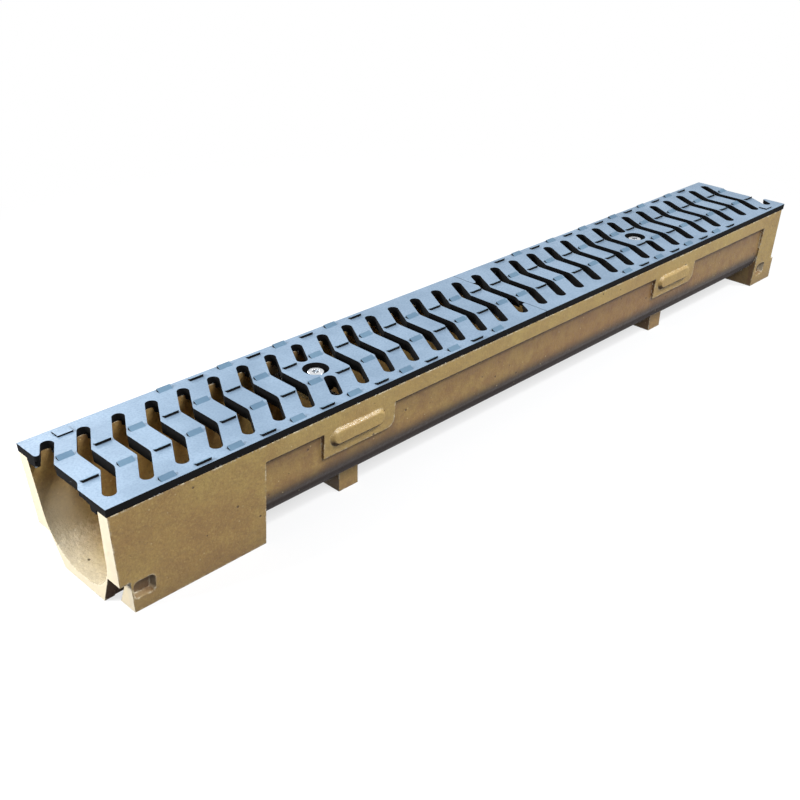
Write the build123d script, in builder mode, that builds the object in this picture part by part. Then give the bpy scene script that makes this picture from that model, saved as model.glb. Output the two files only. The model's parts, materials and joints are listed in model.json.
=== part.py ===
from build123d import *
from math import cos, radians, sin, tan
import os

os.makedirs("parts", exist_ok=True)

# A drainage channel of polymer concrete with two bolted cast-iron gratings.
# X runs along the channel, Y across it, Z up. The origin is under the middle, on the bed.
# All lengths are in millimetres.

# Channel body, overall
channel_length = 1000.0
channel_width = 125.0
body_height = 97.0
side_draft = 3.5

# Trough that carries the water
clear_width = 100.0
trough_corner_radius = 40.0
trough_floor_width = 10.0
trough_floor = 8.5

# Hull between the end blocks
rim_height = 16.5
rim_recess = 4.5
rim_slope = 1.5
hull_draft = 0.5
rim_corner_radius = 1.5
rim_root_radius = 3.0
knee_height = 34.0
knee_radius = 25.0
hull_clearance = 1.5
hull_floor_inset = 40.0
hull_floor_radius = 20.0

# End blocks
left_block_length = 143.0
right_block_length = 43.0

# Joint to the next channel. Both ends lean the same way, so that one is lowered on to the other.
# Below the shoulder the left end is a spigot, and the right end steps out to go round one.
end_lean = 4.0
left_end_setback = 1.0
right_end_setback = 5.0
spigot_length = 9.0
joint_step = 5.5
joint_clearance = 1.5
shoulder_height = 30.0
spigot_inset = 20.5
spigot_floor_inset = 34.0

# Grooves in the block ends, beside the spigot
groove_inset = 19.5
groove_foot_inset = 30.5
groove_height = 21.0
groove_width = 8.5
groove_length = 12.0

# Anchor pockets in the outer sides of the blocks
anchor_from_end = 26.5
anchor_height = 20.0
anchor_length = 20.0
anchor_width = 17.0
anchor_radius = 5.0
anchor_depth = 7.0
anchor_taper = 18.0

# Feet under the bolts
foot_length = 23.0
foot_width = 83.0
foot_height = 27.0

# Lugs that thicken the wall round the crossbar pockets, and the boss that bulges from each
lug_length = 83.5
lug_height = 24.0
lug_offset = 3.5
lug_corner_radius = 9.0
boss_length = 58.0
boss_height = 11.5
boss_offset = 3.0
boss_drop = 1.5
boss_reach = 2.0
boss_draft = 40.0
boss_edge = 2.0
pocket_length = 56.0
pocket_height = 14.0
pocket_wall = 6.5
pocket_rise = 1.5

# Gratings
grating_length = 500.0
grating_gap = 0.6
grating_edge = 7.0
grating_depth = 11.0
grating_side_clearance = 1.5
grating_draft = 3.0
end_lip = 5.0
end_lip_length = 7.0
end_lip_width = 73.0

# Drain slots: straight in the middle, bent at both ends
slot_pitches = 16
slot_width = 10.6
slot_straight = 33.0
slot_reach = 90.0
slot_angle = 30.0
slot_bend_radius = 8.0
bolt_slot_start = 22.0
horn_radius = 2.5

# Raised wedges on the bars. Each row has its distance from the middle, its first and last bar.
wedge_rows = ((-57.3, 2, 14), (-19.2, 0, 15), (19.2, 0, 15), (57.3, 3, 10))
wedge_length = 13.5
wedge_depth = 4.8
wedge_height = 2.4
wedge_root = 0.5
wedge_shift_limit = 22.5

# Raised pad in one corner, where the row of wedges stops short
pad_length = 13.5
pad_width = 10.0
pad_height = 1.5
pad_from_end = 27.0
pad_from_side = 4.5

# Hollows under the bars
hollow_width = 8.0
hollow_reach = 76.0
hollow_depth = 5.0

# Bolt, washer and crossbar
bolt_size = 8.0
bolt_head = 15.0
bolt_head_height = 8.0
bolt_head_sink = 2.5
bolt_socket = 6.0
bolt_socket_depth = 4.5
bolt_head_radius = 0.8
bolt_length = 25.0
bolt_point = 1.0
recess_diameter = 24.0
recess_wall = 4.0
recess_floor = 5.0
washer_diameter = 20.0
washer_thickness = 1.6
washer_clearance = 0.4
crossbar_width = 20.0
crossbar_thickness = 6.0
crossbar_end_gap = 2.0
crossbar_corner_radius = 3.0
hole_clearance = 0.5
thread_clearance = 0.05

# How far a cut starts outside the face that it opens
cut_margin = 1.0

# Places worked out from the sizes
half_width = channel_width / 2
lean = tan(radians(end_lean))
overall_length = channel_length - right_end_setback + joint_step + body_height * lean
left_end = -(overall_length + grating_gap / 2) / 2
right_end = left_end + channel_length
left_face = left_end + left_end_setback
right_face = right_end - right_end_setback
step_top_z = shoulder_height - joint_clearance
seat_z = body_height
top_z = seat_z + grating_edge
rim_z = seat_z - rim_height
trough_z = trough_floor + trough_corner_radius
bolt_xs = [left_end + grating_length * (n + 0.5) for n in range(2)]
lug_places = [(x, side) for x in bolt_xs for side in (-1, 1)]
pocket_top_z = rim_z + pocket_rise
slot_pitch = grating_length / slot_pitches
head_base_z = top_z - bolt_head_sink - bolt_head_height
recess_floor_z = head_base_z - washer_thickness
boss_bottom_z = recess_floor_z - recess_floor
crossbar_length = 2 * (half_width - pocket_wall - crossbar_end_gap)
side_names = ("left", "right")


def cross_section(x):
    """The plane across the channel at x: its first axis is Y, its second is Z."""
    return Plane(origin=(x, 0, 0), x_dir=(0, 1, 0), z_dir=(1, 0, 0))


def leaning_section(x):
    """The same, leaning with the channel's ends, through x at the seat."""
    angle = radians(end_lean)
    return Plane(
        origin=(x + seat_z * lean, 0, 0), x_dir=(0, 1, 0), z_dir=(cos(angle), 0, sin(angle))
    )


def side_inset(z):
    """How far the drafted side has moved in at height z."""
    return (seat_z - z) * tan(radians(side_draft))


def mirrored_outline(*points, radius):
    """A symmetrical outline across the channel, from a top corner to the middle of the floor."""
    with BuildSketch() as outline:
        with BuildLine():
            FilletPolyline(*points, radius=radius)
            Polyline(points[-1], (0, points[0][1]), points[0])
        make_face()
        mirror(about=Plane.YZ)
    return outline.sketch


def spigot_outline(extra):
    """The spigot's section with extra on each side. It runs past the shoulder and the bed."""
    slope = (spigot_floor_inset - spigot_inset) / shoulder_height
    foot = half_width - spigot_floor_inset + extra
    with BuildSketch() as outline:
        with BuildLine():
            rise = shoulder_height + cut_margin
            Polyline(
                (foot + slope * rise, rise),
                (foot - slope * cut_margin, -cut_margin),
                (0, -cut_margin),
                (0, rise),
                close=True,
            )
        make_face()
        mirror(about=Plane.YZ)
    return outline.sketch


def block_outline(bottom, top):
    """A full section between two heights, with the channel's drafted sides."""
    with BuildSketch() as outline:
        with BuildLine():
            Polyline(
                (half_width - side_inset(top), top),
                (half_width - side_inset(bottom), bottom),
                (0, bottom),
                (0, top),
                close=True,
            )
        make_face()
        mirror(about=Plane.YZ)
    return outline.sketch


def side_plane(x, side, setback):
    """An upright plane set in from the channel's side, facing out. Its second axis is Z."""
    return Plane(
        origin=(x, side * (half_width - setback), 0), x_dir=(-side, 0, 0), z_dir=(0, side, 0)
    )


# Channel body
with BuildPart() as channel_body:
    with BuildSketch(cross_section(left_end)):
        add(
            mirrored_outline(
                (half_width, seat_z),
                (half_width - side_inset(rim_z), rim_z),
                (half_width - rim_recess, rim_z - rim_slope),
                (half_width - rim_recess - hull_draft, knee_height),
                (half_width - hull_floor_inset, hull_clearance),
                (0, hull_clearance),
                radius=[rim_corner_radius, rim_root_radius, knee_radius, hull_floor_radius],
            )
        )
    extrude(amount=channel_length)

    for start, length in (
        (left_end, left_block_length),
        (right_end - right_block_length, right_block_length),
    ):
        with BuildSketch(cross_section(start)):
            add(block_outline(0, seat_z))
        extrude(amount=length)

    for bolt_x in bolt_xs:
        with BuildSketch(cross_section(bolt_x - foot_length / 2)):
            Rectangle(foot_width, foot_height, align=(Align.CENTER, Align.MIN))
        extrude(amount=foot_length)

    # Each bolt has a lug on both sides: one is the other turned half round about the bolt
    for bolt_x, side in lug_places:
        lug_x = bolt_x + side * lug_offset
        with BuildSketch(cross_section(lug_x - lug_length / 2)):
            add(block_outline(rim_z - lug_height, seat_z))
            split(bisect_by=Plane.YZ, keep=Keep.TOP if side > 0 else Keep.BOTTOM)
        extrude(amount=lug_length)
        lower_edges = edges(Select.LAST).filter_by(Axis.Y).group_by(Axis.Z)[0].sort_by(Axis.X)
        fillet(lower_edges[0 if side > 0 else -1], lug_corner_radius)
        with BuildSketch(side_plane(lug_x + side * boss_offset, side, -boss_reach)):
            with Locations((0, rim_z - boss_drop - boss_height / 2)):
                SlotOverall(boss_length, boss_height)
        extrude(amount=-(boss_reach + rim_recess), taper=-boss_draft)
        outer_face = faces(Select.LAST).filter_by(Axis.Y).sort_by(Axis.Y)[0 if side < 0 else -1]
        fillet(outer_face.edges(), boss_edge)

    with BuildSketch(cross_section(right_end - right_block_length)):
        add(block_outline(0, step_top_z))
    extrude(amount=right_block_length + overall_length - channel_length)
    with BuildSketch(Plane.XZ):
        with BuildLine():
            step_x = right_face + (seat_z - step_top_z) * lean
            Polyline(
                (left_face, seat_z),
                (left_face + seat_z * lean, 0),
                (right_face + joint_step + seat_z * lean, 0),
                (step_x + joint_step, step_top_z),
                (step_x, step_top_z),
                (right_face, seat_z),
                close=True,
            )
        make_face()
    extrude(amount=half_width + boss_reach, both=True, mode=Mode.INTERSECT)

    # The spigot is cut round at the left end, and the space for one is cut into the right end
    with BuildSketch(leaning_section(left_face)):
        with Locations((0, -cut_margin)):
            Rectangle(
                channel_width, shoulder_height + cut_margin, align=(Align.CENTER, Align.MIN)
            )
        add(spigot_outline(0), mode=Mode.SUBTRACT)
    extrude(amount=spigot_length, mode=Mode.SUBTRACT)
    with BuildSketch(leaning_section(right_face)):
        add(spigot_outline(joint_clearance))
    extrude(amount=joint_step + cut_margin, mode=Mode.SUBTRACT)

    # Trough: a floor with round corners, and sides that open a little towards the seat
    with BuildSketch(cross_section(left_end)):
        with BuildLine():
            for y in (-trough_floor_width / 2, trough_floor_width / 2):
                CenterArc((y, trough_z), trough_corner_radius, 0, 360)
            Line((-clear_width / 2, seat_z), (clear_width / 2, seat_z))
        make_hull()
    extrude(amount=overall_length, mode=Mode.SUBTRACT)

    for groove_x, run in (
        (left_face + spigot_length, groove_length),
        (right_face + joint_step, -groove_length),
    ):
        with BuildSketch(leaning_section(groove_x)):
            for side in (-1, 1):
                foot_y = side * (half_width - groove_foot_inset)
                head_y = side * (half_width - groove_inset)
                SlotCenterPoint((foot_y, 0), (head_y, groove_height), groove_width)
        extrude(amount=run, mode=Mode.SUBTRACT)

    for bolt_x, side in lug_places:
        with BuildSketch(side_plane(bolt_x + side * lug_offset, side, pocket_wall)):
            with Locations((0, pocket_top_z - pocket_height / 2)):
                SlotOverall(pocket_length, pocket_height)
        extrude(amount=pocket_wall - half_width, mode=Mode.SUBTRACT)

    for anchor_x in (left_end + anchor_from_end, right_end - anchor_from_end):
        for side in (-1, 1):
            with BuildSketch(side_plane(anchor_x, side, side_inset(anchor_height) - cut_margin)):
                with Locations((0, anchor_height)):
                    RectangleRounded(anchor_length, anchor_width, anchor_radius)
            extrude(amount=-anchor_depth, taper=anchor_taper, mode=Mode.SUBTRACT)

channel_body.part.label = "channel_body"
export_step(channel_body.part, "parts/channel_body.step")


def slot_point(across):
    """The middle of a drain slot at a distance across the grating."""
    along = max(abs(across) - slot_straight / 2, 0) * tan(radians(slot_angle))
    return (along if across > 0 else -along, across)


def slot_line(reach):
    """The middle line of a drain slot, out to a distance each side of the grating's middle."""
    bend = slot_straight / 2
    with BuildLine() as line:
        FilletPolyline(*[slot_point(y) for y in (-reach, -bend, bend, reach)], radius=slot_bend_radius)
    return line.wire()


def bar_shift(across):
    """How far a bar's middle has moved along the channel at a distance across the grating."""
    along = slot_point(across)[0]
    return max(-wedge_shift_limit, min(along, wedge_shift_limit))


# One raised wedge, lying across the grating's middle with its steep face towards -Y
with BuildPart() as wedge:
    with BuildSketch(Plane.YZ.offset(-wedge_length / 2)):
        with BuildLine():
            Polyline(
                (-wedge_depth / 2, -wedge_root),
                (-wedge_depth / 2, wedge_height),
                (wedge_depth / 2, 0),
                (wedge_depth / 2, -wedge_root),
                close=True,
            )
        make_face()
    extrude(amount=wedge_length)


# One cast-iron grating, with its middle over the origin
half_length = (grating_length - grating_gap) / 2
slot_offsets = [slot_pitch * (n - slot_pitches / 2) for n in range(slot_pitches + 1)]
bar_offsets = [slot_pitch * (n + 0.5 - slot_pitches / 2) for n in range(slot_pitches)]
reach = slot_reach / 2

with BuildPart() as grating:
    with BuildSketch(Plane((0, 0, top_z))) as plan:
        Rectangle(2 * half_length, channel_width)
        with Locations(*[(x, 0) for x in slot_offsets if x]):
            SlotArc(slot_line(reach), slot_width, mode=Mode.SUBTRACT)
        # The middle slot is left whole round the bolt
        for side in (-1, 1):
            inner, outer = slot_point(side * bolt_slot_start), slot_point(side * reach)
            middle = ((inner[0] + outer[0]) / 2, (inner[1] + outer[1]) / 2)
            with Locations(middle):
                SlotCenterToCenter(
                    (reach - bolt_slot_start) / cos(radians(slot_angle)),
                    slot_width,
                    rotation=90 - slot_angle,
                    mode=Mode.SUBTRACT,
                )
        left_points = plan.vertices().group_by(Axis.X)[0].sort_by(Axis.Y)
        right_points = plan.vertices().group_by(Axis.X)[-1].sort_by(Axis.Y)
        fillet([left_points[2], right_points[1]], horn_radius)
    extrude(amount=-grating_depth, taper=grating_draft)

    # Seats along both sides, and thin lips at both ends
    seat_width = (channel_width - clear_width) / 2 + grating_side_clearance
    with BuildSketch(cross_section(-half_length)):
        with Locations((-half_width, seat_z), (half_width - seat_width, seat_z)):
            Rectangle(seat_width, grating_depth, align=(Align.MIN, Align.MAX))
    extrude(amount=2 * half_length, mode=Mode.SUBTRACT)
    with BuildSketch(Plane((0, 0, top_z - end_lip))):
        with Locations((-half_length, 0), (half_length, 0)):
            Rectangle(2 * end_lip_length, end_lip_width)
    extrude(amount=-grating_depth, mode=Mode.SUBTRACT)

    # Hollows in the underside of the bars
    with BuildSketch(Plane((0, 0, top_z - grating_depth))):
        with Locations(*[(x, 0) for x in bar_offsets]):
            SlotArc(slot_line(hollow_reach / 2), hollow_width)
    extrude(amount=hollow_depth, mode=Mode.SUBTRACT)

    # Boss round the bolt
    with BuildSketch(Plane((0, 0, boss_bottom_z))):
        Circle(recess_diameter / 2 + recess_wall)
    extrude(until=Until.NEXT)
    with Locations((0, 0, top_z)):
        CounterBoreHole(
            radius=(bolt_size + hole_clearance) / 2,
            counter_bore_radius=recess_diameter / 2,
            counter_bore_depth=top_z - recess_floor_z,
        )

    # Wedges on the bars, each turned the other way from its neighbours
    spots = []
    for row, (row_y, first_bar, last_bar) in enumerate(wedge_rows):
        for n in range(first_bar, last_bar + 1):
            turn = 180 * ((n + row + 1) % 2)
            spots.append(Location((bar_offsets[n] + bar_shift(row_y), row_y, top_z), (0, 0, turn)))
    with Locations(*spots):
        add(wedge.part)
    with BuildSketch(Plane((0, 0, top_z))):
        with Locations((pad_from_end - half_length, half_width - pad_from_side)):
            Rectangle(pad_length, pad_width, align=(Align.MIN, Align.MAX))
    extrude(amount=pad_height)

# The right grating is the same casting as the left one, turned half round
for name, bolt_x, turn in zip(side_names, bolt_xs, (0, 180)):
    placed = Pos(bolt_x, 0, 0) * Rot(0, 0, turn) * grating.part
    placed.label = f"grating_{name}"
    export_step(placed, f"parts/grating_{name}.step")

for name, bolt_x in zip(side_names, bolt_xs):
    with BuildPart() as bolt:
        with BuildSketch(Plane((bolt_x, 0, head_base_z))):
            Circle(bolt_head / 2)
        extrude(amount=bolt_head_height)
        fillet(bolt.faces().sort_by(Axis.Z)[-1].edges(), bolt_head_radius)
        with BuildSketch(Plane((bolt_x, 0, head_base_z + bolt_head_height))):
            RegularPolygon(bolt_socket / 2, 6, major_radius=False)
        extrude(amount=-bolt_socket_depth, mode=Mode.SUBTRACT)
        with BuildSketch(Plane((bolt_x, 0, head_base_z))):
            Circle(bolt_size / 2)
        extrude(amount=-bolt_length)
        chamfer(bolt.faces().sort_by(Axis.Z)[0].edges(), bolt_point)
    bolt.part.label = f"bolt_{name}"
    export_step(bolt.part, f"parts/bolt_{name}.step")

    with BuildPart() as washer:
        with BuildSketch(Plane((bolt_x, 0, recess_floor_z))):
            Circle(washer_diameter / 2)
            Circle(bolt_size / 2 + washer_clearance / 2, mode=Mode.SUBTRACT)
        extrude(amount=washer_thickness)
    washer.part.label = f"washer_{name}"
    export_step(washer.part, f"parts/washer_{name}.step")

    with BuildPart() as crossbar:
        with BuildSketch(Plane((bolt_x, 0, pocket_top_z))):
            RectangleRounded(crossbar_width, crossbar_length, crossbar_corner_radius)
            Circle(bolt_size / 2 + thread_clearance, mode=Mode.SUBTRACT)
        extrude(amount=-crossbar_thickness)
    crossbar.part.label = f"crossbar_{name}"
    export_step(crossbar.part, f"parts/crossbar_{name}.step")
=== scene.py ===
import json
from math import radians

import bpy
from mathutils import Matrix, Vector

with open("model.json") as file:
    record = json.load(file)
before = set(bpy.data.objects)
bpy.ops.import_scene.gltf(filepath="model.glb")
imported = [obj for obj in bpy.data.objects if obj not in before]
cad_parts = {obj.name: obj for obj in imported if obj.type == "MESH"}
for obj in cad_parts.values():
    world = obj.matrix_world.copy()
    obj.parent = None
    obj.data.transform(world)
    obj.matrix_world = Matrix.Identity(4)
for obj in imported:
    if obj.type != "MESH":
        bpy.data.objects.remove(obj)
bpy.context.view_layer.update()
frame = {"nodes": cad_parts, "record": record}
nodes = frame["nodes"]

# Places on the object in metres, for the masks of its materials. A pair of numbers is the range
# over which a mask goes from 0 to 1.

# Across: half the body's width at the bed, what the drafted side adds to it per metre of height,
# where the trough's walls end, and how far behind the drafted side a recessed face lies
half_width_at_bed = 0.05657
side_slope = 0.0612
outside_trough = (0.05, 0.052)
behind_side = (0.0004, 0.001)

# Along: the hull lies between the end blocks, and its lugs are a quarter of a metre each way from
# a point a little off the middle
after_left_block = (-0.37, -0.33)
before_right_block = (0.46, 0.44)
recess_darker_range = (-0.2, 0.15)
hull_end = (0.462, 0.458)
mouth_place = (0.45, 0.5)
lug_distance = 0.25
lug_shift = 0.0038
beside_lug = (0.05, 0.036)

# Heights above the bed, the first for the painted shadow below the rim, the last one on the
# gratings
rim_shadow_heights = (0.058, 0.082)
knee_heights = (0.053, 0.039)
belly_heights = (0.06, 0.05)
trough_low = (0.08, 0.04)
grating_walls = (0.1, 0.099)

# Backdrop: what the camera sees is white, and what lights the object is dim
white = (1, 1, 1, 1)
floor_size = 16
floor_white = (252, 252, 252)
floor_unseen = (0.03, 0.03, 0.035, 1)
floor_glow_start = 0.7
floor_glow_range = (0.4, 0.9)
sky_unseen = (0.14, 0.17, 0.22, 1)

# Lamps: name, place, point that it faces, size in metres, power in watts
lamps = (
    ("key", (-0.1, -1.5, 1.85), (0, 0, 0.05), 0.9, 44),
    ("spark", (1.1, -0.95, 1.6), (0, 0, 0.05), 0.2, 17),
    ("end", (-1.15, 0.22, 0.5), (-0.5, 0, 0.05), 0.25, 12),
    ("glare", (-0.04, 1.76, 1.04), (-0.5, 0.05, 0.1), 0.5, 22),
)

# Camera, fitted to the photo: metres, degrees, and millimetres for the lens and the sensor
camera_place = (-0.798694, -0.628008, 0.52672)
camera_turn = (61.3529, -1.1245, -45.4808)
camera_lens = 47.63
camera_sensor = 36


def linear(red, green, blue):
    """A colour written as 0 to 255 display values, as Blender's linear colour."""
    values = []
    for value in (red, green, blue):
        share = value / 255
        values.append(share / 12.92 if share <= 0.04045 else ((share + 0.055) / 1.055) ** 2.4)
    return (*values, 1.0)


class Nodes:
    """A short way to write a material's node tree."""

    def __init__(self, name):
        self.material = bpy.data.materials.new(name)
        self.material.use_nodes = True
        self.tree = self.material.node_tree
        self.tree.nodes.clear()
        self.output = self.add("ShaderNodeOutputMaterial")
        self.place = self.add("ShaderNodeTexCoord").outputs["Object"]

    def add(self, kind, values=None, **settings):
        node = self.tree.nodes.new(kind)
        for key, value in settings.items():
            setattr(node, key, value)
        for key, value in (values or {}).items():
            self.set(node.inputs[key], value)
        return node

    def set(self, socket, value):
        if isinstance(value, bpy.types.NodeSocket):
            self.tree.links.new(value, socket)
        else:
            socket.default_value = value

    def math(self, operation, *values):
        """The operation on the values from left to right, or on a single one."""
        total = values[0]
        for value in values[1:] or (0.0,):
            node = self.add("ShaderNodeMath", operation=operation)
            self.set(node.inputs[0], total)
            self.set(node.inputs[1], value)
            total = node.outputs[0]
        return total

    def times(self, *values):
        return self.math("MULTIPLY", *values)

    def most(self, *values):
        return self.math("MAXIMUM", *values)

    def ramp(self, value, low, high, start=0.0, end=1.0):
        """The value, carried smoothly from low..high to start..end."""
        node = self.add("ShaderNodeMapRange", interpolation_type="SMOOTHSTEP")
        for key, number in (
            ("Value", value),
            ("From Min", low),
            ("From Max", high),
            ("To Min", start),
            ("To Max", end),
        ):
            self.set(node.inputs[key], number)
        return node.outputs["Result"]

    def mix(self, share, first, second):
        node = self.add("ShaderNodeMix", data_type="RGBA")
        self.set(node.inputs[0], share)
        self.set(node.inputs[6], first)
        self.set(node.inputs[7], second)
        return node.outputs[2]

    def parts(self, vector):
        """A vector's X, Y and Z."""
        return self.add("ShaderNodeSeparateXYZ", {"Vector": vector}).outputs

    def normal(self):
        return self.add("ShaderNodeNewGeometry").outputs["Normal"]

    def soft_normal(self, radius):
        """The normal that edges rounded by a radius in metres would give."""
        return self.add("ShaderNodeBevel", {"Radius": radius}, samples=4).outputs[0]

    def moved(self, offset):
        """The place on the object, moved so that two patterns don't line up."""
        values = {"Vector": self.place, "Location": offset}
        return self.add("ShaderNodeMapping", values).outputs[0]

    def noise(self, scale, detail, roughness, offset=(0.0, 0.0, 0.0)):
        values = {
            "Vector": self.moved(offset),
            "Scale": scale,
            "Detail": detail,
            "Roughness": roughness,
        }
        return self.add("ShaderNodeTexNoise", values).outputs[0]

    def grains(self, scale, size, share, offset=(0.0, 0.0, 0.0)):
        """Round grains in a share of the cells of a grid: 1 inside a grain, 0 outside."""
        values = {"Vector": self.moved(offset), "Scale": scale}
        cells = self.add("ShaderNodeTexVoronoi", values).outputs
        inside = self.ramp(cells["Distance"], size, size * 0.6)
        pick = self.add("ShaderNodeSeparateColor", {"Color": cells["Color"]})
        return self.times(inside, self.math("LESS_THAN", pick.outputs[0], share))

    def bump(self, height, distance, strength, edge):
        """Relief over edges that are rounded by a radius in metres."""
        values = {
            "Height": height,
            "Distance": distance,
            "Strength": strength,
            "Normal": self.soft_normal(edge),
        }
        return self.add("ShaderNodeBump", values).outputs[0]

    def wear(self, radius, low, high):
        """1 along edges, 0 elsewhere."""
        values = {0: self.soft_normal(radius), 1: self.normal()}
        turn = self.add("ShaderNodeVectorMath", values, operation="DOT_PRODUCT")
        return self.ramp(turn.outputs["Value"], high, low)

    def surface(self, **values):
        names = {key.replace("_", " "): value for key, value in values.items()}
        shader = self.add("ShaderNodeBsdfPrincipled", names)
        self.tree.links.new(shader.outputs[0], self.output.inputs[0])
        return self.material


def body_masks(n, facing, patches):
    """Masks from 0 to 1 for the body's stains and for its painted light and shade, by place and
    by where a face points.
    """
    place = n.parts(n.place)
    along, height, rise = place["X"], place["Z"], facing["Z"]
    from_middle, side = n.math("ABSOLUTE", along), n.math("ABSOLUTE", place["Y"])
    endways = n.math("ABSOLUTE", facing["X"])

    # The drafted sides and what bulges from them, and what lies behind them
    half_width = n.math("ADD", n.times(height, side_slope), half_width_at_bed)
    depth = n.math("SUBTRACT", half_width, side)
    flank = n.ramp(side, *outside_trough)
    recess = n.times(flank, n.ramp(depth, *behind_side))
    proud = n.times(flank, n.ramp(depth, *reversed(behind_side)))
    between = n.times(n.ramp(along, *after_left_block), n.ramp(along, *before_right_block))
    # Brown stains in random patches on the recessed walls, over an even painted shade on all of
    # them, and darker towards the right block
    stains_and_recess_shade = n.math(
        "ADD", n.ramp(patches, 0.0, 1.0, 0.28, 0.46), n.ramp(along, *recess_darker_range, 0.0, 0.24)
    )

    # Painted shadow on the recessed walls below the rim and the lugs
    from_lug = n.math(
        "SUBTRACT", n.math("ABSOLUTE", n.math("ADD", along, lug_shift)), lug_distance
    )
    below_lug = n.ramp(n.math("ABSOLUTE", from_lug), *beside_lug, 0.0, 0.45)
    below_rim = n.ramp(height, *rim_shadow_heights, 0.0, 0.5)

    # Painted shade on undersides, in the anchor pockets of the blocks, and low on the hull's knee
    # and belly
    hull = n.ramp(from_middle, *hull_end)
    pocket = n.times(recess, n.ramp(hull, 1.0, 0.0, 0.0, 0.8), n.ramp(rise, 0.3, 0.1))
    knee = n.times(recess, n.ramp(height, *knee_heights), n.ramp(endways, 0.5, 0.3))
    belly = n.times(n.ramp(rise, -0.4, -0.65), n.ramp(height, *belly_heights))

    # Painted light on the end faces, and on the trough's floor and lower walls near the ends
    outward = n.times(facing["Y"], n.math("SIGN", place["Y"]))
    trough = n.times(
        n.ramp(outward, 0.4, 0.1), n.ramp(rise, 0.0, 0.1), n.ramp(height, *trough_low)
    )
    mouth = n.ramp(from_middle, *mouth_place)
    return {
        # Painted light on the rim and lugs between the end blocks
        "painted_light_on_rim_and_lugs": n.times(proud, between),
        # Stains and painted shade on the recessed walls
        "stains_and_recess_shade": n.times(recess, stains_and_recess_shade),
        # Painted shadow below the rim and lugs
        "painted_shadow_below_rim_and_lugs": n.times(recess, n.most(below_rim, below_lug)),
        # Painted shade on undersides and in the anchor pockets
        "under": n.most(n.ramp(rise, -0.04, -0.4), pocket),
        # Painted shade low on the hull
        "painted_shade_low_on_hull": n.times(n.most(knee, belly), hull),
        # Painted light at the ends
        "painted_light_at_ends": n.times(n.most(n.ramp(endways, 0.5, 0.8), trough), mouth),
    }


def concrete():
    """Golden polymer concrete: sandy grain, drifts of olive and brown, pits and quartz flecks,
    with painted light and shade laid over them.
    """
    n = Nodes("polymer_concrete")
    facing = n.parts(n.normal())
    rise = facing["Z"]
    broad = n.ramp(n.noise(11, 4, 0.6), 0.36, 0.64)
    patches = n.ramp(n.noise(55, 5, 0.65, (3, 1, 2)), 0.38, 0.66)
    grain = n.noise(420, 4, 0.75)
    # Painted shade: a darker brown where other faces close the surface in
    painted_shade_in_hollows = n.add("ShaderNodeAmbientOcclusion", {"Distance": 0.05}, samples=8).outputs["AO"]
    masks = body_masks(n, facing, patches)
    flecks = n.grains(260, 0.2, 0.07)
    pits = n.grains(95, 0.14, 0.2, (7, 3, 5))
    edges = n.wear(0.003, 0.8, 0.97)
    # Chipped edges in a light colour that also stands in as a painted glint along them
    chips_and_edge_glints = n.times(edges, n.ramp(n.noise(160, 4, 0.7, (2, 6, 4)), 0.46, 0.58))

    # Each layer of colour has its mask and its strength
    colour = n.mix(broad, linear(180, 152, 90), linear(168, 134, 80))
    for mask, strength, tint in (
        (patches, 0.5, (146, 112, 70)),
        (n.ramp(grain, 0.5, 0.72), 0.5, (206, 180, 118)),
        (n.ramp(grain, 0.5, 0.3), 0.45, (122, 92, 56)),
        # Painted shade where other faces close the surface in
        (n.ramp(painted_shade_in_hollows, 0.75, 0.25), 0.65, (92, 64, 48)),
        # Painted light on the rim and lugs
        (masks["painted_light_on_rim_and_lugs"], 0.22, (206, 182, 118)),
        # Brown stains on the recessed walls over an even painted shade
        (masks["stains_and_recess_shade"], 1.0, (124, 88, 58)),
        # Painted shadow below the rim and lugs
        (masks["painted_shadow_below_rim_and_lugs"], 1.0, (84, 60, 46)),
        # Painted shade on undersides and in the anchor pockets
        (masks["under"], 0.8, (66, 48, 44)),
        # Painted shade low on the hull
        (masks["painted_shade_low_on_hull"], 0.95, (36, 26, 24)),
        # Painted light on the end faces and in the trough near the ends
        (masks["painted_light_at_ends"], 0.8, (242, 230, 200)),
        (flecks, 0.5, (230, 212, 164)),
        (pits, 0.8, (66, 46, 28)),
        # Chipped edges, lightened as a painted glint too
        (chips_and_edge_glints, 0.85, (248, 238, 208)),
    ):
        colour = n.mix(n.times(mask, strength), colour, linear(*tint))

    waves = n.times(n.noise(130, 3, 0.6, (5, 9, 1)), 1.6)
    relief = n.math("SUBTRACT", n.math("ADD", n.times(grain, 0.5), waves), pits, chips_and_edge_glints)
    polished = n.times(n.most(edges, n.ramp(rise, 0.2, 0.6)), 0.28)
    rough = n.math("SUBTRACT", n.ramp(grain, 0.3, 0.7, 0.45, 0.65), polished)
    return n.surface(
        Base_Color=colour,
        Roughness=n.most(rough, n.ramp(rise, -0.1, -0.4, 0.0, 0.95)),
        Specular_IOR_Level=0.5,
        Normal=n.bump(relief, 0.0008, 0.6, 0.0008),
    )


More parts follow.
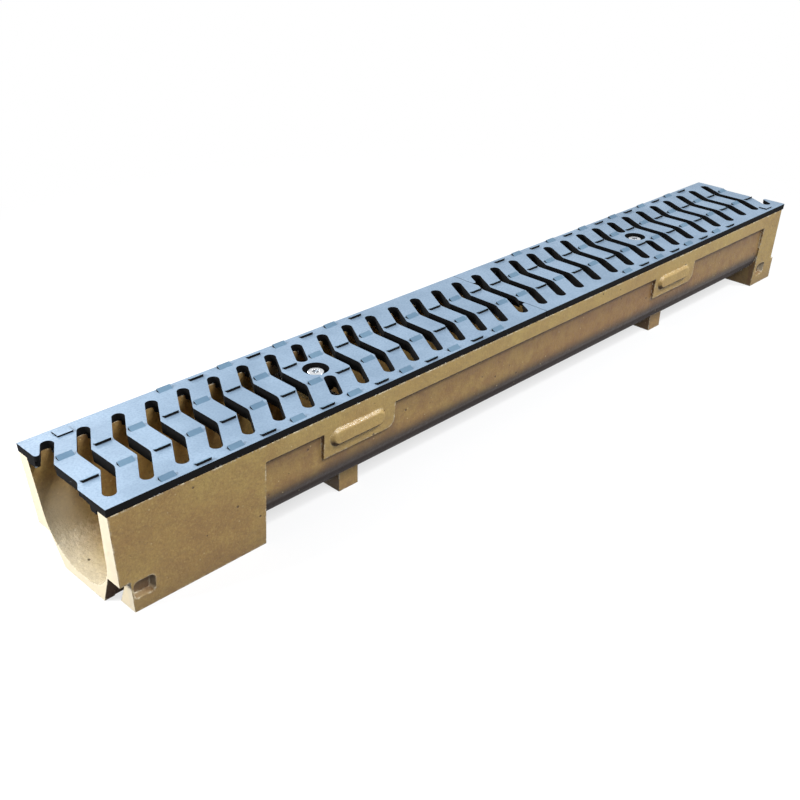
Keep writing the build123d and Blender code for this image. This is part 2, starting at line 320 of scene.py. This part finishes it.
def painted_iron():
    """Black cast iron, with a painted reflection in blue-grey on what faces up, and black walls
    and steps.
    """
    n = Nodes("cast_iron")
    rise = n.parts(n.normal())["Z"]
    height = n.parts(n.place)["Z"]
    cloud = n.ramp(n.noise(16, 5, 0.65), 0.34, 0.66)
    cast = n.noise(520, 4, 0.7)
    # Painted reflection of the bright sky on the black iron: blue-grey on faces that point up and
    # darker on the wedges' ramps, mottled at random
    reflection_facing_up = n.mix(cloud, linear(134, 154, 173), linear(118, 138, 157))
    reflection_facing_up = n.mix(n.ramp(cast, 0.42, 0.66, 0.0, 0.4), reflection_facing_up, linear(98, 117, 138))
    reflection_on_ramps = n.mix(cloud, linear(102, 129, 149), linear(90, 116, 137))
    painted_reflection = n.mix(n.ramp(rise, 0.94, 0.985), reflection_on_ramps, reflection_facing_up)
    # Light specks along worn edges of the slot walls: partly bare metal, partly a painted glint
    worn = n.times(n.wear(0.002, 0.85, 0.98), n.ramp(height, *grating_walls))
    painted_glint_specks = n.times(worn, n.grains(420, 0.45, 0.3), 0.8)
    wall = n.mix(painted_glint_specks, linear(3, 3, 4), linear(190, 200, 210))
    return n.surface(
        # Black walls and steps, with the painted reflection on what points up
        Base_Color=n.mix(n.ramp(rise, 0.45, 0.85), wall, painted_reflection),
        Roughness=n.most(n.ramp(rise, 0.85, 0.45), n.ramp(cast, 0.3, 0.7, 0.38, 0.55)),
        Specular_IOR_Level=0.2,
        Normal=n.bump(cast, 0.0003, 0.35, 0.0004),
    )


def bright_metal(name, colour, roughness, edge, metallic):
    """Plated steel with faint streaks."""
    n = Nodes(name)
    streaks = n.noise(400, 3, 0.6)
    return n.surface(
        Base_Color=n.mix(n.ramp(streaks, 0.3, 0.7), colour, linear(196, 200, 204)),
        Metallic=metallic,
        Roughness=n.ramp(streaks, 0.3, 0.7, roughness, roughness + 0.12),
        Normal=n.bump(streaks, 0.0001, 0.3, edge),
    )


def seen_rays(tree):
    """1 for rays that show a surface to the camera, straight, reflected or through glass."""
    path = tree.nodes.new("ShaderNodeLightPath")
    total = path.outputs["Is Camera Ray"]
    for name in ("Is Glossy Ray", "Is Transmission Ray"):
        node = tree.nodes.new("ShaderNodeMath")
        node.operation = "MAXIMUM"
        tree.links.new(total, node.inputs[0])
        tree.links.new(path.outputs[name], node.inputs[1])
        total = node.outputs[0]
    return total


def floor():
    """A plain floor that looks white, keeps the object's shadow and throws little light back."""
    bpy.ops.mesh.primitive_plane_add(size=floor_size, location=(0, 0, 0))
    plane = bpy.context.object
    plane.name = "floor"
    n = Nodes("floor")
    seen = seen_rays(n.tree)
    away = n.add("ShaderNodeVectorMath", {0: n.place}, operation="LENGTH").outputs["Value"]
    tone = n.mix(seen, floor_unseen, linear(*floor_white))
    matt = n.add("ShaderNodeBsdfDiffuse", {"Color": tone})
    glow = n.add("ShaderNodeEmission", {"Color": white})
    share = n.times(seen, n.ramp(away, *floor_glow_range, floor_glow_start, 1.0))
    both = n.add("ShaderNodeMixShader", {0: share, 1: matt.outputs[0], 2: glow.outputs[0]})
    n.tree.links.new(both.outputs[0], n.output.inputs[0])
    plane.data.materials.append(n.material)


def sky():
    """A world that looks white and gives the object a little even light."""
    world = bpy.data.worlds.new("studio")
    world.use_nodes = True
    tree = world.node_tree
    colour = tree.nodes.new("ShaderNodeMix")
    colour.data_type = "RGBA"
    tree.links.new(seen_rays(tree), colour.inputs[0])
    colour.inputs[6].default_value = sky_unseen
    colour.inputs[7].default_value = white
    tree.links.new(colour.outputs[2], tree.nodes["Background"].inputs["Color"])
    bpy.context.scene.world = world


def lamp(name, place, aim, size, power):
    data = bpy.data.lights.new(name, "AREA")
    data.size = size
    data.energy = power
    lamp_object = bpy.data.objects.new(name, data)
    bpy.context.scene.collection.objects.link(lamp_object)
    lamp_object.location = place
    direction = (lamp_object.location - Vector(aim)).normalized()
    lamp_object.rotation_euler = direction.to_track_quat("Z", "Y").to_euler()


def camera():
    data = bpy.data.cameras.new("camera")
    data.sensor_width = camera_sensor
    data.lens = camera_lens
    camera_object = bpy.data.objects.new("camera", data)
    bpy.context.scene.collection.objects.link(camera_object)
    camera_object.location = camera_place
    camera_object.rotation_euler = [radians(angle) for angle in camera_turn]
    bpy.context.scene.camera = camera_object


materials = {
    "polymer_concrete": concrete(),
    "cast_iron": painted_iron(),
    "bright_zinc": bright_metal("bright_zinc", linear(232, 235, 238), 0.2, 0.0003, 1.0),
    "galvanised": bright_metal("galvanised", linear(222, 226, 230), 0.2, 0.003, 0.8),
}
for part in frame["record"]["subparts"]:
    for slot in nodes[part["node"]].material_slots:
        slot.material = materials[part["material_slot"]]

floor()
sky()
for values in lamps:
    lamp(*values)
camera()
bpy.context.scene.view_settings.view_transform = "Standard"
